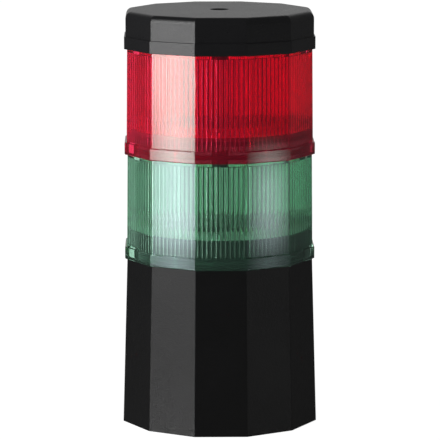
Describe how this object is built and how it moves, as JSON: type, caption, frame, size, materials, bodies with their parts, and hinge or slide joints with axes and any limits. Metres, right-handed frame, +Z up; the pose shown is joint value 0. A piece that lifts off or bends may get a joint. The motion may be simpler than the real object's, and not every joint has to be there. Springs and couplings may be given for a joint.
{
  "type": "stack light",
  "caption": "Compact signal tower: black twelve-sided tapered base, clear green lens, clear red lens above it, black cap with a central screw.",
  "frame": {"origin": "centre of the underside of the base", "axes": "+Z up along the tower, one flat side facing -Y"},
  "size_m": [0.0862, 0.0862, 0.1834],
  "materials": {
    "black_plastic": "satin moulded black, fine texture",
    "green_lens": "clear green plastic, glossy outside, fluted inside",
    "red_lens": "clear red plastic, glossy outside, fluted inside",
    "seal_rubber": "soft black rubber",
    "screw_steel": "zinc plated",
    "brass": "turned brass",
    "mast_plastic": "moulded dark grey",
    "board_white": "white circuit board",
    "board_green": "green circuit board",
    "green_lamp": "lamp body with clear dome",
    "red_lamp": "lamp body with clear dome",
    "terminal_plastic": "moulded green",
    "capacitor_sleeve": "shrunk sleeve",
    "chip_black": "moulded black"
  },
  "bodies": {
    "base": {"base_housing": "black_plastic", "base_plate": "black_plastic", "plate_seal": "seal_rubber", "cable_grommet": "seal_rubber", "plate_screws": "screw_steel", "mounting_inserts": "brass", "main_board": "board_green", "board_screws": "screw_steel", "terminal_block": "terminal_plastic", "terminal_screws": "screw_steel", "capacitor": "capacitor_sleeve", "driver_chip": "chip_black", "riser_socket": "black_plastic", "riser_board": "board_green", "mast": "mast_plastic", "mast_screws": "screw_steel", "mast_insert": "brass", "green_light_board": "board_white", "green_board_screws": "screw_steel", "red_light_board": "board_white", "red_board_screws": "screw_steel", "green_led_1": "green_lamp", "green_led_2": "green_lamp", "green_led_3": "green_lamp", "green_led_4": "green_lamp", "green_led_5": "green_lamp", "green_led_6": "green_lamp", "red_led_1": "red_lamp", "red_led_2": "red_lamp", "red_led_3": "red_lamp", "red_led_4": "red_lamp", "red_led_5": "red_lamp", "red_led_6": "red_lamp", "base_seal": "seal_rubber"},
    "green_tier": {"green_lens": "green_lens", "green_seal": "seal_rubber"},
    "red_tier": {"red_lens": "red_lens", "red_seal": "seal_rubber"},
    "cap": {"cap": "black_plastic", "screw_seal": "seal_rubber"},
    "cap_screw": {"cap_screw": "screw_steel", "screw_retainer": "screw_steel"}
  },
  "joints": [
    {"name": "green_tier_lift", "type": "slide", "parent": "base", "child": "green_tier", "axis": [0, 0, 1], "range_m": [0, 0.11]},
    {"name": "red_tier_lift", "type": "slide", "parent": "green_tier", "child": "red_tier", "axis": [0, 0, 1], "range_m": [0, 0.06]},
    {"name": "cap_lift", "type": "slide", "parent": "red_tier", "child": "cap", "axis": [0, 0, 1], "range_m": [0, 0.03]},
    {"name": "cap_screw_turn", "type": "hinge", "parent": "cap", "child": "cap_screw", "pos_m": [0, 0, 0.1748], "axis": [0, 0, 1], "continuous": true}
  ]
}
